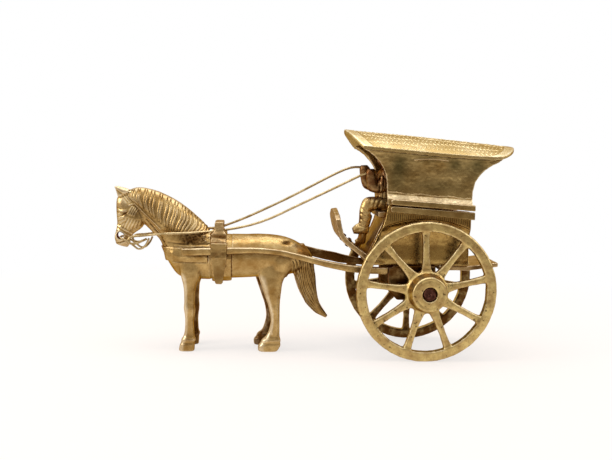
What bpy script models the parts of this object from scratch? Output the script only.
"""Brass horse-drawn carriage model: a two-wheeled hooded cart with its driver, horse and wire reins.

X runs along the model with the horse facing -X, Y runs across it with the near side at -Y, and Z is up.
Everything is placed from the axle, and the whole then stands with its middle over the origin.
"""
from math import atan2, cos, hypot, pi, radians, sin, sqrt

import bmesh
import bpy
from mathutils import Matrix, Vector

MM = 0.001

# Fits
GAP = 0.3 * MM                     # between pieces that are brazed or riveted together
RUNNING_GAP = 0.35 * MM            # round the axle, where the wheels turn

# Wheels and axle
WHEEL_RADIUS = 53 * MM
WHEEL_TRACK = 75 * MM              # from the middle of one rim to the middle of the other
RIM_DEPTH = 7.2 * MM
RIM_WIDTH = 6 * MM
RIM_CHAMFER = 0.9 * MM
SPOKES = 9
SPOKE_WIDTH = 4.2 * MM
SPOKE_FLARE = 3.4 * MM             # what a spoke gains in width at each end
SPOKE_THICKNESS = 4.4 * MM
WINDOW_MARGIN = 0.6 * MM           # how far the gaps between spokes keep from the hub and reach into the rim
NEAR_SPOKE_ANGLE = radians(93)
FAR_SPOKE_ANGLE = radians(270)
HUB_RADIUS = 14.6 * MM
HUB_FACE_RADIUS = 13.2 * MM
HUB_OUT = 13.5 * MM                # from the middle of the rim to the hub's outer face
HUB_STEP = 1.2 * MM
HUB_CHAMFER = 0.7 * MM
HUB_RECESS_RADIUS = 5.5 * MM
HUB_RECESS_DEPTH = 3 * MM
BOSS_RADIUS = 8.5 * MM
AXLE_RADIUS = 3.1 * MM
AXLE_HEAD_RADIUS = 4.9 * MM
AXLE_HEAD_HEIGHT = 1.7 * MM

# Axle brackets
BRACKET_LENGTH = 36 * MM
BRACKET_AHEAD = 27 * MM            # from the axle to the bracket's front end
BRACKET_THICKNESS = 6 * MM
BRACKET_BELOW = 8.6 * MM           # below the axle's centre
BRACKET_CORNER = 7 * MM
BRACKET_NOTCH = 3 * MM             # length of the shelf in front, level with the shaft's top

# Shafts, square bars from the brackets to the horse's chest
SHAFT_SPREAD = 23.5 * MM           # from the middle plane to the middle of a shaft
SHAFT_WIDTH = 4.6 * MM
SHAFT_FRONT = (                    # distance ahead of the girth, height of the middle, bar's height, in mm
    (27, 78.4, 5.6), (6, 79.2, 5.4), (-25, 80.6, 4.4), (-43, 79.6, 4.4), (-55, 77.6, 4.4))
SHAFT_REAR = (                     # the same, ahead of the axle
    (78, 71.8, 4.8), (65, 69.3, 5.2), (57, 68.0, 5.4), (40, 66.7, 5.4))
FAR_SHAFT_LIFT = 2.4               # in mm; the far shaft is this much taller between tug and bracket
SHAFT_LIFT_FADE = 25               # in mm; the length over which that fades out at each end

# Tub, the body below the rails
TUB_HALF_WIDTH = 28 * MM
TUB_WALL = 8.5 * MM
TUB_FLOOR_Z = 71.2 * MM
TUB_FRONT = 44 * MM                # ahead of the axle, at the floor
TUB_KNEE = 31 * MM                 # ahead of the axle, under the rails
TUB_KNEE_BEVEL = 1.6 * MM
TUB_TOE_Z = 76.7 * MM              # the front stands upright up to here
TUB_SHIN_Z = 101.8 * MM            # and leans back up to here
TUB_KNEE_Z = 107.8 * MM
TUB_REAR = 34.6 * MM               # behind the axle
WELL_CENTRE_Z = 86 * MM
WELL_HALF_LENGTH = 45.6 * MM
WELL_HALF_HEIGHT = 20.3 * MM
WELL_DEPTH = 6.6 * MM
WELL_OFFSET = 2.4 * MM
BOARD = 3 * MM                     # thickness of the tub's boards
SEAT_Z = 111 * MM
SEAT_THICKNESS = 4 * MM
SEAT_NOSE = 35.5 * MM              # ahead of the axle

# Rails along both sides, sloping down to the rear
RAIL_FRONT = 28 * MM
RAIL_REAR = 36.2 * MM
RAIL_SLOPE = 3.6 / 64
RAIL_THICKNESS = 3.2 * MM
RAIL_HEIGHT = 4.5 * MM
LOWER_RAIL_GROWTH = 1.2 * MM       # the lower rail is this much taller at its rear end
RAIL_SPLIT_Z = 116.9 * MM          # height of the joint between hood and tub at the rails' front
RAIL_SPLIT = 1.0 * MM              # width of that joint
RAIL_CORNER = 2 * MM

# Hood: crowned roof on two flared sides
ROOF_HALF_WIDTH = 30 * MM
ROOF_THICKNESS = 3 * MM
ROOF_CORNER_AHEAD = 49.7 * MM
ROOF_BOW_FRONT = 11.8 * MM
ROOF_CORNER_BEHIND = 51 * MM
ROOF_BOW_REAR = 20.5 * MM
ROOF_RIDGE_Z = 169.3 * MM          # over the axle
ROOF_SLOPE = 0.077
ROOF_CAMBER = 0.3 * MM             # the ridge's drop at the corners, on top of its slope
ROOF_CROWN = 11.6 * MM
ROOF_REAR_LIFT = 1.8 * MM          # the crown flattens towards the rear tip
HOOD_HALF_WIDTH = 27.4 * MM
HOOD_WALL = 3 * MM
HOOD_LEDGE = 3.8 * MM
HOOD_SHOULDER = 1.6 * MM           # how far the hood's foot stands out from its side
HOOD_FRONT = 30.4 * MM
HOOD_REAR = 35 * MM
HOOD_FLARE_FRONT = 18.6 * MM
HOOD_FLARE_REAR = 22.5 * MM
HOOD_FLARE_POWER = 2.9
HOOD_RISES = (0, 0.2, 0.4, 0.55, 0.68, 0.78, 0.86, 0.93, 1)    # shares of the wall's height
HOOD_INSET = 0.7 * MM              # of the side's top behind the roof's edge

# Footboard and rear step
FOOTBOARD_HALF_WIDTH = 26 * MM
FOOTBOARD_THICKNESS = 3.9 * MM
FOOTBOARD_ARCH = 6.6 * MM
FOOTBOARD_LEAN = 0.12              # of the arch, ahead for each millimetre up
FOOTBOARD_PROFILE = (              # distance ahead of the axle and height in mm, top to foot
    (66.8, 105.4), (65.5, 98.6), (63.4, 92.4), (59.6, 88.0), (52.5, 82.6), (45.0, 77.2), (41.0, 74.3))
STEP_HALF_WIDTH = 24 * MM
STEP_THICKNESS = 3.4 * MM
STEP_FRONT = 12 * MM               # behind the axle
STEP_BEND = 35 * MM
STEP_REAR = 58 * MM
STEP_RISE = 3.2 * MM
RIVET_HEAD_RADIUS = 1.9 * MM
RIVET_HEAD_HEIGHT = 1.2 * MM
RIVET_RADIUS = 1.2 * MM
RIVET_PLACES = {"front": (58.2, 86.7), "rear": (53.8, 83.5)}     # ahead of the axle and height, in mm
RIVET_LEAN = radians(36)           # between the rivet and the vertical
RIVET_Y = 20 * MM

# Horse; its sections are (front or top x, z; back or foot x, z; half width; y) in mm from its girth
HORSE_AHEAD = 157 * MM             # from the axle to the girth
TRUNK_SIDES = 16                   # corners of the trunk's sections, and of the bands' round it
TRUNK = (
    (-42.4, 84, -39.4, 68, 6.0, 0), (-37.6, 88, -35.8, 62.4, 10.6, 0), (-29.0, 91, -29.6, 56.6, 13.6, 0),
    (-14.0, 93, -15.0, 54.6, 15.4, 0), (1.0, 91, -2.0, 54.6, 16.0, 0), (17.0, 90.4, 14.0, 55.8, 16.0, 0),
    (33.0, 90.8, 30.0, 56.6, 15.4, 0), (46.0, 90, 43.0, 57, 14.6, 0), (56.0, 87.4, 53.5, 58.6, 13.0, 0),
    (64.0, 83.0, 63.0, 62, 10.2, 0), (70.5, 77.5, 69.5, 67, 5.5, 0))
NECK = (
    (-6.0, 90.5, -29.0, 62, 12.4, 0), (-10.4, 97.0, -36.8, 67, 12.4, 0), (-17.6, 104.0, -42.3, 76, 11.4, 0),
    (-27.2, 111.8, -46.2, 85, 9.8, 0), (-39.6, 119.2, -52.2, 91, 8.4, 0), (-52.0, 123.8, -58.0, 97, 7.4, 0),
    (-63.0, 125.2, -61.0, 102, 6.6, 0), (-71.2, 122.6, -64.5, 107, 5.6, 0))
HEAD = (
    (-75.8, 121.0, -63.5, 117.5, 4.4, 0), (-79.0, 116.5, -60.6, 109, 6.6, 0),
    (-79.5, 110.4, -57.6, 101, 7.4, 0), (-79.2, 103.6, -59.6, 94.5, 6.8, 0),
    (-78.8, 97.4, -65.6, 89.6, 5.3, 0), (-79.6, 91.8, -68.2, 86.0, 4.8, 0),
    (-80.9, 86.4, -68.9, 81.6, 5.0, 0), (-79.8, 81.0, -71.0, 78.4, 3.8, 0))
FORELEG = (
    (-31.0, 68, -11.0, 68, 6.4, -8.0), (-28.6, 58, -14.0, 57.5, 5.8, -9.2),
    (-26.4, 49, -17.2, 49, 4.4, -10.4), (-25.8, 38, -17.8, 38, 3.8, -11),
    (-25.6, 31, -17.4, 31, 4.0, -11), (-25.0, 22, -18.2, 22, 3.4, -11),
    (-25.6, 13.5, -17.8, 12.5, 3.6, -11), (-27.4, 8.5, -17.0, 8.0, 4.3, -11),
    (-29.0, 4.6, -17.4, 4.6, 4.8, -11), (-29.7, 0, -17.6, 0, 5.1, -11))
HINDLEG = (
    (27.0, 70, 60.0, 74, 6.6, -6.6), (30.6, 59, 54.5, 63.5, 6.6, -8.0), (33.2, 52, 50.0, 54.5, 5.6, -9.6),
    (36.6, 42, 48.4, 44, 4.6, -10.6), (39.6, 33.4, 47.9, 33.6, 3.9, -11), (41.0, 23.4, 48.0, 24, 3.5, -11),
    (38.6, 13.6, 48.2, 12.8, 3.7, -11), (34.4, 8.0, 48.9, 7.6, 4.4, -11), (31.4, 3.8, 49.0, 4.0, 4.9, -11),
    (31.8, 0, 46.4, 0, 4.9, -11))
TAIL = (
    (54.0, 80, 68.0, 84, 5.0, 0), (57.6, 69, 73.2, 73, 6.0, 0), (58.4, 59.5, 75.4, 60, 5.8, 0),
    (62.4, 47.6, 77.0, 48.6, 5.0, 0), (68.8, 36.5, 78.6, 39.6, 4.0, 0), (76.8, 28.4, 81.8, 32.2, 2.6, 0),
    (85.0, 24.6, 86.4, 25.8, 0.9, 0))
EAR_ROOT = (-70.8, 120.4, 4.0)
EAR_TIP = (-79.7, 125.8, 4.4)
EAR_RADIUS = 2.7
EAR_TIP_RADIUS = 0.4
FAR_FORELEG_SHIFT = 1.6            # the far foreleg stands this much further back
FAR_HINDLEG_SHIFT = -3.4
MANE_LOCKS = 24
MANE_RELIEF = 0.55
MUZZLE_HOLE = (-76.0, 88.0)        # x and z in mm from the girth
MUZZLE_HOLE_RADIUS = 2.6 * MM

# Harness, all of it seated on the horse
STRAP = 1.8 * MM                   # thickness of the bands
SADDLE_LENGTH = 11.6 * MM
SADDLE_FOOT_Z = 82 * MM
TERRET_LENGTH = 6.8 * MM
TERRET_HALF_WIDTH = 11 * MM
TERRET_Z = 100.2 * MM
TERRET_WAIST_Z = 92 * MM           # below this the saddle's block widens to its flaps
TERRET_FLARE = 1.5 * MM            # by so much on each side, and over twice this height
GIRTH_LENGTH = 15 * MM
GIRTH_SHIFT = 2.5 * MM             # the girth lies this much behind the saddle
TUG_LENGTH = 12.2 * MM
TUG_SHIFT = 0.8 * MM               # behind the saddle's middle
TUG_WALL = 2.2 * MM
TUG_CAP = 1.4 * MM                 # the loop's top is this much thicker than its other walls
TUG_PLAY = 0.4 * MM                # round the shaft
PENDANT_FOOT_Z = 53.8 * MM
PENDANT_TOP_LENGTH = 12.2 * MM
PENDANT_FOOT_LENGTH = 7.8 * MM
PENDANT_BEVEL = 1.4 * MM
PENDANT_INSET = 0.5 * MM           # the strap's inner face lies this far out from the loop's
PENDANT_THICKNESS = 2.2 * MM
COLLAR_THICKNESS = 1.1 * MM
COLLAR_TOP_Z = 80.4 * MM
COLLAR_FOOT_Z = 69.4 * MM
COLLAR_REAR = 8 * MM               # the breast collar ends this far ahead of the girth's middle
COLLAR_FRONT = 60 * MM             # a place ahead of the chest

# Reins and bit, stiff wire, in mm. A rein's head has points (ahead of the girth, y, z) from the mouth to the
# saddle. From there to the fist it sags below the straight line, by so much at even steps of the way, and the
# fist's points are (ahead, y, z) from the driver's place on the seat.
REIN_RADIUS = 1.05 * MM
BIT_RADIUS = 0.85 * MM
NEAR_REIN_HEAD = (
    (57.8, -10.7, 85.2), (62.4, -10.6, 82.8), (67.0, -10.6, 82.6), (68.8, -10.5, 85.4),
    (65.8, -10.3, 88.0), (60.0, -9.8, 88.5), (53.5, -10.4, 89.4), (41.2, -13.8, 90.9),
    (23.0, -14.2, 91.8), (9.0, -10.5, 92.7), (0, -8.0, 93.2), (-6.5, -8.0, 94.4))
NEAR_REIN_SAG = (3.7, 4.8, 3.7, 2.5, 1.3)
NEAR_REIN_FIST = ((21.5, -8.0, 27.0), (14.5, -8.0, 29.4))
FAR_REIN_HEAD = (
    (57.8, 10.7, 84.0), (62.4, 10.6, 81.8), (67.0, 10.6, 81.8), (68.8, 10.5, 84.6),
    (65.8, 10.3, 87.2), (60.0, 9.8, 87.7), (53.5, 10.4, 88.6), (41.2, 13.8, 90.4),
    (23.0, 14.2, 91.9), (11.0, 10.8, 93.2), (2.0, 8.2, 94.2), (-5.0, 8.0, 96.4))
FAR_REIN_SAG = (1.3, 1.6, 1.6, 1.0, 0.1)
FAR_REIN_FIST = ((32.1, 8.0, 31.0), (24.0, 8.0, 33.0), (17.5, 8.0, 32.8))
BIT_WIRE = (                       # ahead of the girth, y, z, in mm
    (53.2, -10.3, 86.9), (54.8, -9.6, 83.0), (57.8, -8.6, 79.2), (61.5, -8.0, 78.2), (64.5, -7.8, 80.2),
    (68.5, -7.6, 83.2), (72.5, -7.4, 85.2), (75.4, -6.4, 86.4), (76.0, -3.5, 86.6), (76.0, 3.5, 86.6),
    (75.4, 6.4, 86.4), (72.5, 7.4, 85.2), (68.5, 7.6, 82.8), (64.5, 7.8, 79.6), (61.5, 8.0, 77.6),
    (57.8, 8.6, 78.4), (54.8, 9.6, 82.2), (53.2, 10.3, 86.1))

# Driver; sections as for the horse, in mm from the point on the seat below the body
DRIVER_AHEAD = 27 * MM
TORSO = (
    (-7.6, 0, 7.0, 0, 7.0, 0), (-9.2, 4.5, 7.4, 4.0, 8.0, 0), (-8.8, 10, 6.0, 10, 6.8, 0),
    (-9.6, 17, 5.4, 17.6, 7.2, 0), (-9.4, 24, 5.2, 25.4, 8.2, 0), (-6.6, 30, 4.0, 31, 7.0, 0),
    (-4.2, 33, 2.6, 33.6, 3.6, 0), (-3.8, 35.5, 2.4, 36, 3.0, 0))
SKULL = (
    (-4.4, 34.0, 1.6, 34.6, 2.6, 0), (-6.2, 36.4, 2.8, 37, 3.7, 0), (-6.9, 40, 3.8, 40.4, 4.5, 0),
    (-6.4, 43.6, 3.8, 44, 4.5, 0), (-4.6, 46.4, 2.4, 46.8, 3.0, 0))
TURBAN = (
    (-5.8, 41.2, 3.4, 42.4, 4.2, 0), (-7.8, 42.6, 5.0, 43.8, 5.8, 0), (-7.8, 45.4, 5.0, 46.0, 5.8, 0),
    (-5.2, 47.8, 2.6, 48.2, 3.6, 0))
NEAR_LEG = (
    (-2.0, 9.4, 0.0, 1.2, 4.4, -4.6), (-10.0, 9.8, -8.0, 0.8, 4.4, -5.4),
    (-17.4, 8.6, -13.6, -1.6, 4.3, -6.0), (-20.2, 1.6, -12.2, -3.4, 4.0, -6.4),
    (-20.6, -6.2, -13.0, -8.0, 3.5, -6.6), (-21.2, -10.6, -14.6, -12.8, 3.2, -6.8),
    (-23.4, -12.8, -14.6, -17.6, 3.2, -7.0), (-27.2, -14.4, -25.4, -18.4, 2.4, -7.4))
FAR_LEG = (
    (-2.0, 9.0, 0.0, 1.2, 4.4, 4.6), (-10.0, 8.6, -8.0, 0.8, 4.4, 5.4),
    (-16.6, 6.4, -12.8, -2.8, 4.2, 6.0), (-18.6, -2.0, -11.0, -5.4, 3.8, 6.2),
    (-18.8, -12.0, -12.0, -13.0, 3.3, 6.4), (-19.4, -20.0, -13.4, -21.0, 3.0, 6.6),
    (-20.6, -23.4, -14.8, -28.2, 3.0, 6.8), (-23.0, -25.2, -21.4, -28.4, 2.2, 7.0))
NEAR_ARM = (
    (-4.0, 31, 2.0, 29, 2.6, -6.8), (-5.8, 26.2, 1.4, 24.8, 3.0, -8.8), (-8.4, 20.6, -4.2, 15.0, 3.0, -9.4),
    (-9.4, 20.8, -13.6, 16.0, 2.8, -9.0), (-11.2, 25.0, -16.2, 23.4, 2.5, -8.5),
    (-11.8, 30.0, -17.2, 30.0, 2.9, -8.3), (-13.0, 32.6, -16.0, 32.6, 1.8, -8.3))
FAR_ARM = (
    (-4.0, 31, 2.0, 29, 2.6, 6.8), (-5.6, 27.0, 0.6, 23.6, 3.0, 8.8), (-9.8, 21.6, -7.2, 15.7, 2.9, 9.2),
    (-12.8, 22.3, -16.0, 17.4, 2.7, 8.8), (-14.4, 27.4, -19.4, 25.6, 2.5, 8.5),
    (-14.9, 32.6, -20.1, 32.4, 2.9, 8.3), (-16.1, 35.0, -18.9, 35.0, 1.8, 8.3))

# Surfaces: colour, roughness and metallic value
CAST_BRASS = ((0.52, 0.38, 0.14), 0.42, 1.0)
WHEEL_BRASS = ((0.47, 0.38, 0.15), 0.5, 1.0)
HOOD_BRASS = ((0.50, 0.36, 0.15), 0.36, 1.0)
WIRE_BRASS = ((0.60, 0.48, 0.26), 0.3, 1.0)
DARK_STEEL = ((0.19, 0.12, 0.10), 0.55, 1.0)


def clear_scene():
    for thing in list(bpy.data.objects):
        bpy.data.objects.remove(thing, do_unlink=True)


def make_collection(name):
    collection = bpy.data.collections.new(name)
    bpy.context.scene.collection.children.link(collection)
    return collection


def make_frame():
    """The empty that carries every piece; it lies on the ground under the axle."""
    frame = bpy.data.objects.new("carriage_frame", None)
    parts.objects.link(frame)
    return frame


clear_scene()
parts = make_collection("horse_drawn_carriage")
cutters = make_collection("cutters")
frame = make_frame()


def finish(name, surface):
    """A material of its own for one piece."""
    colour, roughness, metallic = surface
    material = bpy.data.materials.new(name + "_metal")
    material.use_nodes = True
    shader = material.node_tree.nodes["Principled BSDF"]
    shader.inputs["Base Color"].default_value = (*colour, 1.0)
    shader.inputs["Roughness"].default_value = roughness
    shader.inputs["Metallic"].default_value = metallic
    return material


def place(name, data, surface=None):
    """A piece of the model, or a cutter where it has no surface."""
    thing = bpy.data.objects.new(name, data)
    thing.parent = frame
    if surface is None:
        cutters.objects.link(thing)
        thing.hide_render = True
        thing.display_type = "WIRE"
    else:
        parts.objects.link(thing)
        data.materials.append(finish(name, surface))
    return thing


def mesh_from(bm, name, smooth_below=None):
    bmesh.ops.recalc_face_normals(bm, faces=bm.faces)
    mesh = bpy.data.meshes.new(name)
    bm.to_mesh(mesh)
    bm.free()
    if smooth_below is not None:
        mesh.shade_smooth()
        mesh.set_sharp_from_angle(angle=smooth_below)
    return mesh


def shape(target, tool, operation):
    modifier = target.modifiers.new(tool.name, "BOOLEAN")
    modifier.object = tool
    modifier.operation = operation
    modifier.solver = "EXACT"


def smooth_rows(rows, steps):
    """Rows of numbers along a smooth curve through the given rows, steps to a span."""
    def between(a, b, c, d, t):
        bend = 2 * a - 5 * b + 4 * c - d
        twist = 3 * b - a - 3 * c + d
        return b + 0.5 * ((c - a) * t + bend * t ** 2 + twist * t ** 3)

    out = []
    last = len(rows) - 1
    for i in range(last):
        near = (rows[max(i - 1, 0)], rows[i], rows[i + 1], rows[min(i + 2, last)])
        for k in range(steps):
            out.append(tuple(between(*four, k / steps) for four in zip(*near)))
    out.append(tuple(rows[last]))
    return out


def section_ring(row, sides, swell=0.0):
    """An oval ring between a section's two points, at its half width, in metres."""
    ax, az, bx, bz, half, y = (value * MM for value in row)
    middle = Vector(((ax + bx) / 2, y, (az + bz) / 2))
    reach = Vector(((ax - bx) / 2, 0, (az - bz) / 2))
    long_way = reach.normalized() * (reach.length + swell)
    cross_way = Vector((0, half + swell, 0))
    turns = (2 * pi * k / sides for k in range(sides))
    return [middle + long_way * cos(t) + cross_way * sin(t) for t in turns]


def loft(rings):
    """A closed skin over rings of equal count, with flat ends."""
    bm = bmesh.new()
    rows = [[bm.verts.new(point) for point in ring] for ring in rings]
    for one, two in zip(rows, rows[1:]):
        for k in range(len(one)):
            bm.faces.new((one[k], one[k - 1], two[k - 1], two[k]))
    bm.faces.new(rows[0])
    bm.faces.new(rows[-1])
    return bm


def limb(name, rows, sides=12, steps=1, surface=None):
    rings = [section_ring(row, sides) for row in smooth_rows(rows, steps)]
    return place(name, mesh_from(loft(rings), name, radians(50)), surface)


def box(name, low, high, surface=None):
    bm = bmesh.new()
    bmesh.ops.create_cube(bm, size=1)
    size = Vector(high) - Vector(low)
    middle = (Vector(high) + Vector(low)) / 2
    bmesh.ops.transform(bm, matrix=Matrix.Translation(middle) @ Matrix.Diagonal((*size, 1)), verts=bm.verts)
    return place(name, mesh_from(bm, name), surface)


def cross_cylinder(name, radius, length, x, z, segments=32):
    """A cutter along Y."""
    bm = bmesh.new()
    turn = Matrix.Rotation(pi / 2, 4, "X")
    bmesh.ops.create_cone(bm, cap_ends=True, segments=segments, radius1=radius, radius2=radius, depth=length,
                          matrix=Matrix.Translation((x, 0, z)) @ turn)
    return place(name, mesh_from(bm, name))


def flat_outline(name, outlines, thickness):
    """A 2D curve filled between its outlines, as thick as given, about its own plane."""
    curve = bpy.data.curves.new(name, "CURVE")
    curve.dimensions = "2D"
    curve.fill_mode = "BOTH"
    curve.extrude = thickness / 2
    for outline in outlines:
        spline = curve.splines.new("POLY")
        spline.points.add(len(outline) - 1)
        for point, (x, y) in zip(spline.points, outline):
            point.co = (x, y, 0, 1)
        spline.use_cyclic_u = True
    return curve


def curve_to_mesh(name, curve, turn):
    """The curve's welded mesh, turned; the curve itself is removed."""
    thing = bpy.data.objects.new(name + "_curve", curve)
    cutters.objects.link(thing)
    graph = bpy.context.evaluated_depsgraph_get()
    mesh = bpy.data.meshes.new_from_object(thing.evaluated_get(graph))
    bpy.data.objects.remove(thing, do_unlink=True)
    bm = bmesh.new()
    bm.from_mesh(mesh)
    bpy.data.meshes.remove(mesh)
    bmesh.ops.remove_doubles(bm, verts=bm.verts, dist=1e-6)
    bmesh.ops.transform(bm, matrix=turn, verts=bm.verts)
    return mesh_from(bm, name, radians(40))


def side_plate(name, outline, y_from, y_to, surface=None):
    """A plate whose outline is given in x and z, between two places along Y."""
    curve = flat_outline(name, [outline], abs(y_to - y_from))
    turn = Matrix.Translation((0, (y_from + y_to) / 2, 0)) @ Matrix.Rotation(pi / 2, 4, "X")
    return place(name, curve_to_mesh(name, curve, turn), surface)


def wire(name, route, radius, surface=None, steps=2):
    """A stiff round wire along a smooth route, given as (ahead, y, z) in mm."""
    curve = bpy.data.curves.new(name, "CURVE")
    curve.dimensions = "3D"
    curve.bevel_depth = radius
    curve.bevel_resolution = 1
    curve.use_fill_caps = True
    points = [(-ahead * MM, y * MM, z * MM) for ahead, y, z in smooth_rows(route, steps)]
    spline = curve.splines.new("POLY")
    spline.points.add(len(points) - 1)
    for point, co in zip(spline.points, points):
        point.co = (*co, 1)
    if surface is not None:
        return place(name, curve, surface)
    return place(name, curve_to_mesh(name, curve, Matrix()))


def turned(name, profile, steps, surface=None):
    """A body turned about its own Z from a profile of (radius, height), top to bottom."""
    mesh = bpy.data.meshes.new(name)
    mesh.from_pydata([(r, 0, z) for r, z in profile], [(i, i + 1) for i in range(len(profile) - 1)], [])
    thing = place(name, mesh, surface)
    screw = thing.modifiers.new("turned", "SCREW")
    screw.axis = "Z"
    screw.steps = steps
    screw.render_steps = steps
    screw.use_merge_vertices = True
    screw.merge_threshold = 0.00001
    screw.use_smooth_shade = True
    return thing


def turned_ring(name, profile, steps, surface=None):
    """As turned, from a closed profile."""
    thing = turned(name, profile, steps, surface)
    mesh = thing.data
    corners = [tuple(vertex.co) for vertex in mesh.vertices]
    mesh.clear_geometry()
    mesh.from_pydata(corners, [(i, (i + 1) % len(corners)) for i in range(len(corners))], [])
    return thing


# Wheels

def spoke_width(share):
    """A spoke's width at a share of its length from the hub to the rim; it flares at both ends."""
    return SPOKE_WIDTH + SPOKE_FLARE * ((1 - share) ** 5 + 0.8 * share ** 9)


def polar(radius, angle):
    return radius * cos(angle), radius * sin(angle)


def spoke_edge(angle, way):
    """Points up one edge of the spoke at an angle, from the hub to the rim."""
    inner = HUB_RADIUS + HUB_STEP + WINDOW_MARGIN
    outer = WHEEL_RADIUS - RIM_DEPTH + WINDOW_MARGIN
    edge = []
    for share in (0, 0.05, 0.14, 0.3, 0.6, 0.86, 0.95, 1):
        x, y = polar(inner + (outer - inner) * share, angle)
        aside_x, aside_y = polar(spoke_width(share) / 2, angle + way * pi / 2)
        edge.append((x + aside_x, y + aside_y))
    return edge


def window(angle):
    """The outline of the gap that follows the spoke at an angle, a little pointed at the hub."""
    step = 2 * pi / SPOKES
    one = spoke_edge(angle, 1)
    two = spoke_edge(angle + step, -1)
    first = atan2(one[-1][1], one[-1][0])
    sweep = (atan2(two[-1][1], two[-1][0]) - first) % (2 * pi)
    outer = hypot(*one[-1])
    rim = [polar(outer, first + sweep * k / 4) for k in (1, 2, 3)]
    toe = [polar(HUB_RADIUS + HUB_STEP + WINDOW_MARGIN / 2, angle + step / 2)]
    return one + rim + two[::-1] + toe


def spoke_plate(name, first_angle):
    """Spokes and webs as one flat plate that reaches into the rim."""
    reach = WHEEL_RADIUS - RIM_DEPTH / 2
    count = 5 * SPOKES
    edge = [polar(reach, 2 * pi * k / count) for k in range(count)]
    gaps = [window(first_angle + 2 * pi * k / SPOKES) for k in range(SPOKES)]
    curve = flat_outline(name, [edge] + gaps, SPOKE_THICKNESS)
    return place(name, curve_to_mesh(name, curve, Matrix()))


def wheel(name, side, first_angle):
    """One wheel, its origin on the axle; local +Z is the outer side."""
    depth = WHEEL_TRACK / 2 - bracket_outer_y() - RUNNING_GAP
    half = RIM_WIDTH / 2
    outer = WHEEL_RADIUS
    inner = WHEEL_RADIUS - RIM_DEPTH
    rim = turned_ring(name, (
        (outer - RIM_CHAMFER, half), (outer, half - RIM_CHAMFER), (outer, RIM_CHAMFER - half),
        (outer - RIM_CHAMFER, -half), (inner, -half), (inner, half)), 5 * SPOKES, WHEEL_BRASS)
    web = SPOKE_THICKNESS / 2
    step = HUB_RADIUS + HUB_STEP
    hub = turned(name + "_hub", (
        (0, HUB_OUT), (HUB_FACE_RADIUS - HUB_CHAMFER, HUB_OUT), (HUB_FACE_RADIUS, HUB_OUT - HUB_CHAMFER),
        (HUB_RADIUS, web + HUB_STEP), (step, web + 0.75 * HUB_STEP), (step, -web - 0.4 * HUB_STEP),
        (BOSS_RADIUS + HUB_STEP, -web - 2 * HUB_STEP), (BOSS_RADIUS, -depth), (0, -depth)), 30)
    bore = AXLE_RADIUS + RUNNING_GAP
    hole = turned(name + "_bore", (
        (0, 2 * HUB_OUT), (HUB_RECESS_RADIUS, 2 * HUB_OUT), (HUB_RECESS_RADIUS, HUB_OUT - HUB_RECESS_DEPTH),
        (bore, HUB_OUT - HUB_RECESS_DEPTH), (bore, -2 * depth), (0, -2 * depth)), 24)
    plate = spoke_plate(name + "_spokes", first_angle)
    turn = Matrix.Rotation(pi / 2, 4, "X")
    if side > 0:
        turn = Matrix.Rotation(pi, 4, "Z") @ turn
    for thing in (rim, hub, hole, plate):
        thing.matrix_local = Matrix.Translation((0, side * WHEEL_TRACK / 2, WHEEL_RADIUS)) @ turn
    shape(rim, plate, "UNION")
    shape(rim, hub, "UNION")
    shape(rim, hole, "DIFFERENCE")


def axle():
    end = WHEEL_TRACK / 2 + HUB_OUT - HUB_RECESS_DEPTH + RUNNING_GAP + AXLE_HEAD_HEIGHT
    neck = end - AXLE_HEAD_HEIGHT
    dome = 0.6 * MM
    half = ((0, end), (AXLE_HEAD_RADIUS * 0.6, end), (AXLE_HEAD_RADIUS, end - dome), (AXLE_HEAD_RADIUS, neck),
            (AXLE_RADIUS, neck))
    thing = turned("axle", half + tuple((r, -z) for r, z in half[::-1]), 20, DARK_STEEL)
    thing.matrix_local = Matrix.Translation((0, 0, WHEEL_RADIUS)) @ Matrix.Rotation(pi / 2, 4, "X")


# Running gear

def bracket_outer_y():
    return SHAFT_SPREAD + BRACKET_THICKNESS / 2


def axle_bracket(name, side):
    """A plate that hangs from the tub's floor and holds the axle; the shaft is brazed to its front end."""
    top = TUB_FLOOR_Z - GAP
    shelf = SHAFT_REAR[-1][1] * MM + SHAFT_REAR[-1][2] * MM / 2
    front = -BRACKET_AHEAD
    rear = BRACKET_LENGTH - BRACKET_AHEAD
    foot = WHEEL_RADIUS - BRACKET_BELOW
    outline = (
        (front, shelf), (front + BRACKET_NOTCH, shelf), (front + BRACKET_NOTCH, top), (rear, top),
        (rear, foot + BRACKET_CORNER), (rear - BRACKET_CORNER / 2, foot), (front + BRACKET_CORNER, foot),
        (front, foot + BRACKET_CORNER))
    y = side * SHAFT_SPREAD
    plate = side_plate(name, outline, y - BRACKET_THICKNESS / 2, y + BRACKET_THICKNESS / 2, CAST_BRASS)
    shape(plate, axle_hole, "DIFFERENCE")


def from_girth(rows):
    """Rows that begin with a distance ahead of the girth, as distances ahead of the axle."""
    return [(ahead + HORSE_AHEAD / MM, *rest) for ahead, *rest in rows]


def shaft_rows(lift):
    """The shaft's path with its top's lift, which fades out at the tug and at the bracket."""
    path = from_girth(SHAFT_FRONT) + list(SHAFT_REAR)
    tug_ahead, foot_ahead = path[1][0], path[-1][0]
    rows = []
    for ahead, z, height in path:
        share = max(0, min(1, (tug_ahead - ahead) / SHAFT_LIFT_FADE, (ahead - foot_ahead) / SHAFT_LIFT_FADE))
        rows.append((ahead, z + 0.5 * lift * share, height + lift * share))
    return rows + [((BRACKET_AHEAD + GAP) / MM, *SHAFT_REAR[-1][1:])]


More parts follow.
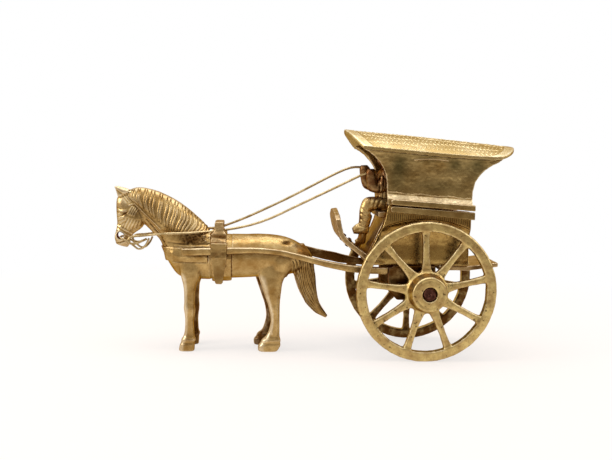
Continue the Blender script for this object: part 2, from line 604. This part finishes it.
def shaft_outline(swell, lift):
    """The shaft seen from the side, arched over the horse's flank."""
    rows = smooth_rows(shaft_rows(lift), 4)
    top = []
    foot = []
    for i, (ahead, z, height) in enumerate(rows):
        one, two = rows[max(i - 1, 0)], rows[min(i + 1, len(rows) - 1)]
        lean = atan2(two[1] - one[1], one[0] - two[0])
        half = height * MM / 2 + swell
        top.append((-ahead * MM - half * sin(lean), z * MM + half * cos(lean)))
        foot.append((-ahead * MM + half * sin(lean), z * MM - half * cos(lean)))
    return top + foot[::-1]


def shaft(name, side, swell=0.0, surface=None):
    y = side * SHAFT_SPREAD
    half = SHAFT_WIDTH / 2 + swell
    lift = FAR_SHAFT_LIFT if side > 0 else 0
    return side_plate(name, shaft_outline(swell, lift), y - half, y + half, surface)


# Tub

def joint_z(x):
    """Height of the joint between hood and tub."""
    return RAIL_SPLIT_Z - RAIL_SLOPE * (x + RAIL_FRONT)


def tub_front_line(ahead=0.0):
    """The tub's front edge from the floor up, moved ahead by a clearance."""
    toe, knee = -TUB_FRONT - ahead, -TUB_KNEE - ahead
    return [(toe, TUB_FLOOR_Z), (toe, TUB_TOE_Z), (knee - TUB_KNEE_BEVEL, TUB_SHIN_Z), (knee, TUB_KNEE_Z)]


def tub_side(name, side):
    """One wall of the tub, dished to clear the wheel."""
    front_top = (TUB_KNEE_BEVEL - TUB_KNEE, joint_z(-TUB_KNEE) + RAIL_SPLIT / 2 - GAP)
    rear_top = (TUB_REAR, joint_z(TUB_REAR) - RAIL_SPLIT / 2)
    outline = tub_front_line() + [front_top, rear_top, (TUB_REAR, TUB_FLOOR_Z)]
    outer = side * TUB_HALF_WIDTH
    wall = side_plate(name, outline, outer, outer - side * TUB_WALL, HOOD_BRASS)
    depth = WELL_DEPTH + WELL_OFFSET
    grow = 1 / sqrt(1 - (WELL_OFFSET / depth) ** 2)
    bm = bmesh.new()
    size = Matrix.Diagonal((WELL_HALF_LENGTH * grow, depth, WELL_HALF_HEIGHT * grow, 1))
    centre = Matrix.Translation((0, outer + side * WELL_OFFSET, WELL_CENTRE_Z))
    bmesh.ops.create_uvsphere(bm, u_segments=28, v_segments=12, radius=1, matrix=centre @ size)
    shape(wall, place(name + "_well", mesh_from(bm, name + "_well")), "DIFFERENCE")


def tub_boards():
    """Floor, seat and the two risers, all between the tub's walls."""
    half = TUB_HALF_WIDTH - TUB_WALL - GAP
    under_seat = SEAT_Z - SEAT_THICKNESS - GAP
    on_floor = TUB_FLOOR_Z + BOARD + GAP
    (toe_x, _), knee, shin, _ = tub_front_line()
    lean = (shin[0] - knee[0]) / (shin[1] - knee[1])
    face = [(toe_x, on_floor), knee, (knee[0] + lean * (under_seat - knee[1]), under_seat)]
    riser = face + [(x + BOARD * hypot(1, lean), z) for x, z in face[::-1]]
    side_plate("seat_riser", riser, -half, half, CAST_BRASS)
    box("rear_riser", (TUB_REAR - BOARD, -half, on_floor), (TUB_REAR, half, under_seat), CAST_BRASS)
    box("tub_floor", (-TUB_FRONT, -half, TUB_FLOOR_Z), (TUB_REAR, half, TUB_FLOOR_Z + BOARD), CAST_BRASS)
    box("seat_board", (-SEAT_NOSE, -half, SEAT_Z - SEAT_THICKNESS), (TUB_REAR, half, SEAT_Z), CAST_BRASS)


def rail(name, side, inner, top_at_front, growth):
    """A flat bar along the side, with a round front end."""
    rear_drop = RAIL_SLOPE * (RAIL_REAR + RAIL_FRONT)
    bottom = top_at_front - RAIL_HEIGHT
    arcs = []
    for centre_z, start in ((bottom + RAIL_CORNER, -pi / 2), (top_at_front - RAIL_CORNER, pi)):
        for k in range(5):
            x, z = polar(RAIL_CORNER, start - pi / 2 * k / 4)
            arcs.append((RAIL_CORNER - RAIL_FRONT + x, centre_z + z))
    ends = [(RAIL_REAR, top_at_front - rear_drop), (RAIL_REAR, bottom - rear_drop - growth)]
    side_plate(name, arcs + ends, side * inner, side * (inner + RAIL_THICKNESS), HOOD_BRASS)


# Hood

def roof_top(x, y):
    """Height of the roof's crowned upper face."""
    ridge = ROOF_RIDGE_Z - ROOF_SLOPE * x - ROOF_CAMBER * (x / ROOF_CORNER_AHEAD) ** 2
    crown = ROOF_CROWN - ROOF_REAR_LIFT * (max(x, 0) / ROOF_CORNER_BEHIND) ** 2
    return ridge - crown * (y / ROOF_HALF_WIDTH) ** 2


def roof_ends(y):
    """Where the roof begins and ends at a distance from the middle plane; both ends bow outwards."""
    across = min(abs(y) / ROOF_HALF_WIDTH, 1)
    front = -ROOF_CORNER_AHEAD - ROOF_BOW_FRONT * (1 - across ** 2)
    rear = ROOF_CORNER_BEHIND + ROOF_BOW_REAR * sqrt(1 - across ** 2)
    return front, rear


def roof_half_width(x):
    """Half the roof's width at a place along it."""
    past = max(x - ROOF_CORNER_BEHIND, 0) / ROOF_BOW_REAR
    before = max(-x - ROOF_CORNER_AHEAD, 0) / ROOF_BOW_FRONT
    return ROOF_HALF_WIDTH * sqrt(max(1 - past ** 2 - before, 0))


def thicken(bm, offset):
    """Closes an open sheet by a copy of it, moved by an offset."""
    made = bmesh.ops.extrude_face_region(bm, geom=bm.faces[:] + bm.edges[:] + bm.verts[:])
    moved = [item for item in made["geom"] if isinstance(item, bmesh.types.BMVert)]
    bmesh.ops.translate(bm, verts=moved, vec=offset)


def roof():
    bm = bmesh.new()
    bmesh.ops.create_grid(bm, x_segments=9, y_segments=14, size=1)
    for vertex in bm.verts:
        y = ROOF_HALF_WIDTH * sin(vertex.co.y * pi / 2)
        front, rear = roof_ends(y)
        x = front + (rear - front) * (vertex.co.x + 1) / 2
        vertex.co = (x, y, roof_top(x, y))
    thicken(bm, (0, 0, -ROOF_THICKNESS))
    return place("roof", mesh_from(bm, "roof", radians(40)), HOOD_BRASS)


def hood_side(name, side):
    """A side of the hood: a ledge at the rails, a plain wall and a flare up to the roof."""
    columns = 10
    bm = bmesh.new()
    faces = []
    for outer in (True, False):
        grid = []
        for j in range(len(HOOD_RISES) + 2):
            rise = HOOD_RISES[j - 2] if j > 1 else 0
            flare = rise ** HOOD_FLARE_POWER
            row = []
            for i in range(columns + 1):
                front = -HOOD_FRONT - HOOD_FLARE_FRONT * flare
                rear = HOOD_REAR + HOOD_FLARE_REAR * flare
                x = front + (rear - front) * i / columns
                foot = joint_z(x) + RAIL_SPLIT / 2
                ledge = foot + RAIL_HEIGHT + HOOD_LEDGE
                edge = roof_half_width(x) - HOOD_INSET
                y = HOOD_HALF_WIDTH + (edge - HOOD_HALF_WIDTH) * rise ** 4
                if j < 2:
                    y += HOOD_SHOULDER
                if not outer:
                    y -= HOOD_WALL
                top = roof_top(x, y) - ROOF_THICKNESS - GAP
                z = (foot, foot + RAIL_HEIGHT)[j] if j < 2 else ledge + (top - ledge) * rise
                row.append(bm.verts.new((x, side * y, z)))
            grid.append(row)
        faces.append(grid)
        for low, high in zip(grid, grid[1:]):
            for i in range(columns):
                bm.faces.new((low[i], low[i + 1], high[i + 1], high[i]))
    rims = [(grid[0] + [row[-1] for row in grid[1:]] + grid[-1][-2::-1] + [row[0] for row in grid[-2:0:-1]])
            for grid in faces]
    for k in range(len(rims[0])):
        bm.faces.new((rims[0][k], rims[0][k - 1], rims[1][k - 1], rims[1][k]))
    return place(name, mesh_from(bm, name, radians(30)), HOOD_BRASS)


# Footboard and rear step

def footboard():
    """A bent board with an arched top, cut off where it meets the tub's front."""
    profile = smooth_rows(FOOTBOARD_PROFILE, 2)
    columns = 8
    bm = bmesh.new()
    rows = []
    for i, (ahead, z) in enumerate(profile):
        share = max(0, 1 - i / 4)
        row = []
        for k in range(columns + 1):
            across = 2 * k / columns - 1
            rise = FOOTBOARD_ARCH * (1 - across ** 2) * share
            x = -ahead * MM - FOOTBOARD_LEAN * rise
            row.append(bm.verts.new((x, across * FOOTBOARD_HALF_WIDTH, z * MM + rise)))
        rows.append(row)
    for one, two in zip(rows, rows[1:]):
        for k in range(columns):
            bm.faces.new((one[k], one[k + 1], two[k + 1], two[k]))
    board = place("footboard", mesh_from(bm, "footboard", radians(40)), CAST_BRASS)
    solid = board.modifiers.new("thickness", "SOLIDIFY")
    solid.thickness = FOOTBOARD_THICKNESS
    solid.offset = 0
    line = tub_front_line(GAP)
    below = (line[0][0], line[0][1] - 2 * FOOTBOARD_THICKNESS)
    behind = [(0, line[-1][1]), (0, below[1])]
    cutter = side_plate("footboard_seat", [below] + line + behind, -TUB_HALF_WIDTH, TUB_HALF_WIDTH)
    shape(board, cutter, "DIFFERENCE")
    for word, side in (("near", -1), ("far", 1)):
        for row, spot in RIVET_PLACES.items():
            name = f"{word}_{row}_rivet"
            shape(board, rivet(name + "_hole", side, spot, GAP), "DIFFERENCE")
            rivet(name, side, spot, 0, CAST_BRASS)


def rivet(name, side, spot, play, surface=None):
    """A rivet through the footboard with a low head on each face, or the hole that it passes through."""
    inside = FOOTBOARD_THICKNESS / 2 + GAP
    end = inside + RIVET_HEAD_HEIGHT
    shank = RIVET_RADIUS + play
    half = ((0, end), (RIVET_HEAD_RADIUS * 0.7, end), (RIVET_HEAD_RADIUS, inside), (shank, inside))
    if play:
        half = ((0, 2 * end), (shank, 2 * end))
    pin = turned(name, half + tuple((r, -z) for r, z in half[::-1]), 8, surface)
    ahead, z = spot
    centre = Matrix.Translation((-ahead * MM, side * RIVET_Y, z * MM))
    pin.matrix_local = centre @ Matrix.Rotation(RIVET_LEAN, 4, "Y")
    return pin


def rear_step():
    """A board under the tub's rear that rises a little behind it."""
    top = TUB_FLOOR_Z - GAP
    outline = ((STEP_FRONT, top), (STEP_BEND, top), (STEP_REAR, top + STEP_RISE),
               (STEP_REAR, top + STEP_RISE - STEP_THICKNESS), (STEP_BEND, top - STEP_THICKNESS),
               (STEP_FRONT, top - STEP_THICKNESS))
    side_plate("rear_step", outline, -STEP_HALF_WIDTH, STEP_HALF_WIDTH, CAST_BRASS)


# Horse

def moved_rows(rows, ahead, rise=0.0, flip=False, shift=0.0):
    """Sections moved from their own origin to the model, and mirrored to the far side if asked."""
    x = shift - ahead / MM
    way = -1 if flip else 1
    return [(a + x, b + rise / MM, c + x, d + rise / MM, half, way * y) for a, b, c, d, half, y in rows]


def horse_rows(rows, flip=False, shift=0.0):
    return moved_rows(rows, HORSE_AHEAD, flip=flip, shift=shift)


def maned_neck():
    """The neck, with the mane's locks as ribs over its crest and upper sides."""
    sides = 12
    spans = len(NECK) - 1
    steps = round(2 * MANE_LOCKS / spans)
    rings = []
    for k, row in enumerate(smooth_rows(horse_rows(NECK), steps)):
        smooth = section_ring(row, sides)
        lean = section_ring(row, sides, -MANE_RELIEF * MM * (k % 2))
        rings.append([ribbed if cos(2 * pi * i / sides) > -0.3 else plain
                      for i, (ribbed, plain) in enumerate(zip(lean, smooth))])
    return place("horse_neck", mesh_from(loft(rings), "horse_neck"))


def ear(name, side):
    root = Vector((EAR_ROOT[0] * MM - HORSE_AHEAD, side * EAR_ROOT[2] * MM, EAR_ROOT[1] * MM))
    tip = Vector((EAR_TIP[0] * MM - HORSE_AHEAD, side * EAR_TIP[2] * MM, EAR_TIP[1] * MM))
    turn = (tip - root).to_track_quat("Z", "Y").to_matrix().to_4x4()
    length = (tip - root).length
    bm = bmesh.new()
    middle = Matrix.Translation((root + tip) / 2)
    bmesh.ops.create_cone(bm, cap_ends=True, segments=8, radius1=EAR_RADIUS * MM, radius2=EAR_TIP_RADIUS * MM,
                          depth=length, matrix=middle @ turn)
    return place(name, mesh_from(bm, name))


def horse():
    """The horse is one casting: trunk, neck, head, legs and tail."""
    body = limb("horse", horse_rows(TRUNK), sides=TRUNK_SIDES, steps=2, surface=CAST_BRASS)
    pieces = [
        maned_neck(),
        limb("horse_head", horse_rows(HEAD), sides=12, steps=2),
        limb("horse_tail", horse_rows(TAIL), sides=8, steps=2),
        ear("horse_near_ear", -1),
        ear("horse_far_ear", 1),
        limb("horse_near_foreleg", horse_rows(FORELEG), sides=10),
        limb("horse_far_foreleg", horse_rows(FORELEG, True, FAR_FORELEG_SHIFT), sides=10),
        limb("horse_near_hindleg", horse_rows(HINDLEG), sides=10),
        limb("horse_far_hindleg", horse_rows(HINDLEG, True, FAR_HINDLEG_SHIFT), sides=10),
    ]
    for piece in pieces:
        shape(body, piece, "UNION")
    x, z = (value * MM for value in MUZZLE_HOLE)
    hole = cross_cylinder("muzzle_hole", MUZZLE_HOLE_RADIUS, SHAFT_SPREAD, x - HORSE_AHEAD, z, 16)
    shape(body, hole, "DIFFERENCE")


# Harness

def girth_half_width():
    return max(row[4] for row in TRUNK) * MM


def tug_inner_y():
    """The tugs lie against the saddle's flaps."""
    return girth_half_width() + 2 * GAP + STRAP


def band(name, low, high, thickness=STRAP, with_neck=False, extras=(), holes=()):
    """A strap of even thickness round the horse's trunk, within a box given from the girth."""
    outer = thickness + GAP
    strap = limb(name, swollen_rows(horse_rows(TRUNK), outer), TRUNK_SIDES, 2, CAST_BRASS)
    if with_neck:
        shape(strap, limb(name + "_neck", swollen_rows(horse_rows(NECK), outer), sides=12, steps=2), "UNION")
    for extra in extras:
        shape(strap, extra, "UNION")
    shape(strap, trunk_room, "DIFFERENCE")
    if with_neck:
        shape(strap, neck_room, "DIFFERENCE")
    for hole in holes:
        shape(strap, hole, "DIFFERENCE")
    corner = Vector((-HORSE_AHEAD, 0, 0))
    shape(strap, box(name + "_reach", Vector(low) + corner, Vector(high) + corner), "INTERSECT")


def swollen_rows(rows, swell):
    """Sections made larger all round by changing their points, their ends moved out too."""
    out = []
    for a, b, c, d, half, y in rows:
        size = hypot(a - c, b - d)
        grow = swell / MM
        ux, uz = (a - c) / size * grow, (b - d) / size * grow
        out.append([a + ux, b + uz, c - ux, d - uz, half + grow, y])
    for end, inner in ((0, 1), (-1, -2)):
        way = 1 if (out[end][0] + out[end][2]) > (out[inner][0] + out[inner][2]) else -1
        out[end][0] += way * swell / MM
        out[end][2] += way * swell / MM
    return [tuple(row) for row in out]


def terret_block():
    """The block on the saddle that the reins run through, narrow at the top and wide at the flaps."""
    narrow = TERRET_LENGTH / 2
    wide = SADDLE_LENGTH / 2 + GAP
    levels = (
        (wide, TERRET_HALF_WIDTH, SADDLE_FOOT_Z + TERRET_FLARE),
        (wide, TERRET_HALF_WIDTH + TERRET_FLARE, TERRET_WAIST_Z - TERRET_FLARE),
        (narrow, TERRET_HALF_WIDTH, TERRET_WAIST_Z + TERRET_FLARE),
        (narrow, TERRET_HALF_WIDTH, TERRET_Z))
    rings = [[Vector((x * sx - HORSE_AHEAD, y * sy, z)) for sx, sy in ((-1, -1), (1, -1), (1, 1), (-1, 1))]
             for x, y, z in levels]
    return place("terret_block", mesh_from(loft(rings), "terret_block"))


def saddle():
    half = SADDLE_LENGTH / 2
    band("saddle", (-half, -SHAFT_SPREAD, SADDLE_FOOT_Z), (half, SHAFT_SPREAD, TERRET_Z + GAP),
         extras=(terret_block(),), holes=rein_rooms)


def tug(name, side):
    """A square loop that the shaft passes through, with the tapered strap that hangs from it."""
    inner = tug_inner_y()
    outer = SHAFT_SPREAD + SHAFT_WIDTH / 2 + TUG_PLAY + TUG_WALL
    shaft_z, height = SHAFT_FRONT[1][1] * MM, SHAFT_FRONT[1][2] * MM
    reach = height / 2 + TUG_PLAY + TUG_WALL
    half = TUG_LENGTH / 2
    middle = TUG_SHIFT - HORSE_AHEAD
    low = (middle - half, min(side * inner, side * outer), shaft_z - reach)
    high = (middle + half, max(side * inner, side * outer), shaft_z + reach + TUG_CAP)
    loop = box(name, low, high, CAST_BRASS)
    strap = pendant(name + "_strap", side, inner, shaft_z - reach + 0.6 * TUG_WALL)
    shape(loop, strap, "UNION")
    shape(loop, shaft_room[side], "DIFFERENCE")


def pendant(name, side, inner, top):
    """The strap below the loop, with a foot cut to a blunt point."""
    wide = PENDANT_TOP_LENGTH / 2 - GAP
    narrow = PENDANT_FOOT_LENGTH / 2
    middle = TUG_SHIFT - HORSE_AHEAD
    right = [(wide, top), (narrow, PENDANT_FOOT_Z + PENDANT_BEVEL), (narrow - PENDANT_BEVEL, PENDANT_FOOT_Z)]
    outline = [(middle + x, z) for x, z in right] + [(middle - x, z) for x, z in right[::-1]]
    near = side * (inner + PENDANT_INSET)
    return side_plate(name, outline, near, near + side * PENDANT_THICKNESS)


def girth():
    half = GIRTH_LENGTH / 2
    band("girth", (GIRTH_SHIFT - half, -SHAFT_SPREAD, 0),
         (GIRTH_SHIFT + half, SHAFT_SPREAD, SADDLE_FOOT_Z - GAP))


def breast_collar():
    band("breast_collar", (-COLLAR_FRONT, -SHAFT_SPREAD, COLLAR_FOOT_Z),
         (-COLLAR_REAR, SHAFT_SPREAD, COLLAR_TOP_Z), COLLAR_THICKNESS, with_neck=True)


# Driver

def driver():
    """The seated driver is one casting, with a fist closed on each rein."""
    def rows(sections):
        return moved_rows(sections, DRIVER_AHEAD, rise=SEAT_Z + GAP)
    body = limb("driver", rows(TORSO), sides=12, steps=2, surface=CAST_BRASS)
    pieces = [
        limb("driver_head", rows(SKULL), sides=12, steps=2),
        limb("driver_turban", rows(TURBAN), sides=12, steps=2),
        limb("driver_near_leg", rows(NEAR_LEG), sides=10),
        limb("driver_far_leg", rows(FAR_LEG), sides=10),
        limb("driver_near_arm", rows(NEAR_ARM), sides=8, steps=2),
        limb("driver_far_arm", rows(FAR_ARM), sides=8, steps=2),
    ]
    for piece in pieces:
        shape(body, piece, "UNION")
    for room in rein_rooms:
        shape(body, room, "DIFFERENCE")


def rein_route(head, sag, fist):
    """A rein's points from the axle: its front follows the horse, its end the driver's fist."""
    front = from_girth(head)
    end = [(ahead + DRIVER_AHEAD / MM, y, z + (SEAT_Z + GAP) / MM) for ahead, y, z in fist]
    one, two = Vector(front[-1]), Vector(end[0])
    middle = []
    for k, drop in enumerate(sag, 1):
        x, y, z = one.lerp(two, k / (len(sag) + 1))
        middle.append((x, y, z - drop))
    return front + middle + end


def lengthened(route, past):
    """A route whose last point lies further on."""
    one, two = Vector(route[-2]), Vector(route[-1])
    return route[:-1] + [tuple(two + (two - one).normalized() * past / MM)]


def stand_over_origin():
    """Moves the frame so that the middle of the model's length lies over the origin."""
    bpy.context.view_layer.update()
    graph = bpy.context.evaluated_depsgraph_get()
    places = []
    for name in ("horse", "roof"):
        thing = bpy.data.objects[name].evaluated_get(graph)
        places += [(thing.matrix_world @ Vector(corner)).x for corner in thing.bound_box]
    frame.location.x = -(min(places) + max(places)) / 2
    bpy.context.view_layer.update()
    print("axle stands at x =", round(frame.location.x, 5))


axle_hole = cross_cylinder("axle_hole", AXLE_RADIUS + GAP, WHEEL_TRACK, 0, WHEEL_RADIUS, 24)
trunk_room = limb("trunk_room", swollen_rows(horse_rows(TRUNK), GAP), TRUNK_SIDES, 2)
neck_room = limb("neck_room", swollen_rows(horse_rows(NECK), GAP), sides=12, steps=2)
near_rein_route = rein_route(NEAR_REIN_HEAD, NEAR_REIN_SAG, NEAR_REIN_FIST)
far_rein_route = rein_route(FAR_REIN_HEAD, FAR_REIN_SAG, FAR_REIN_FIST)
rein_rooms = [wire(name, lengthened(route, 2 * GAP), REIN_RADIUS + GAP)
              for name, route in (("near_rein_room", near_rein_route), ("far_rein_room", far_rein_route))]
shaft_room = {side: shaft(name, side, TUG_PLAY)
              for name, side in (("near_shaft_room", -1), ("far_shaft_room", 1))}

wheel("near_wheel", -1, NEAR_SPOKE_ANGLE)
wheel("far_wheel", 1, FAR_SPOKE_ANGLE)
axle()
for word, side in (("near", -1), ("far", 1)):
    axle_bracket(word + "_axle_bracket", side)
    shaft(word + "_shaft", side, surface=CAST_BRASS)
    tub_side(word + "_tub_side", side)
    rail(word + "_lower_rail", side, TUB_HALF_WIDTH + GAP, RAIL_SPLIT_Z - RAIL_SPLIT / 2, LOWER_RAIL_GROWTH)
    rail(word + "_upper_rail", side, HOOD_HALF_WIDTH + HOOD_SHOULDER + GAP,
         RAIL_SPLIT_Z + RAIL_SPLIT / 2 + RAIL_HEIGHT, 0)
    hood_side(word + "_hood_side", side)
    tug(word + "_tug", side)
tub_boards()
roof()
footboard()
rear_step()
horse()
saddle()
girth()
breast_collar()
driver()
wire("near_rein", near_rein_route, REIN_RADIUS, WIRE_BRASS)
wire("far_rein", far_rein_route, REIN_RADIUS, WIRE_BRASS)
wire("bit_wire", from_girth(BIT_WIRE), BIT_RADIUS, WIRE_BRASS)
stand_over_origin()
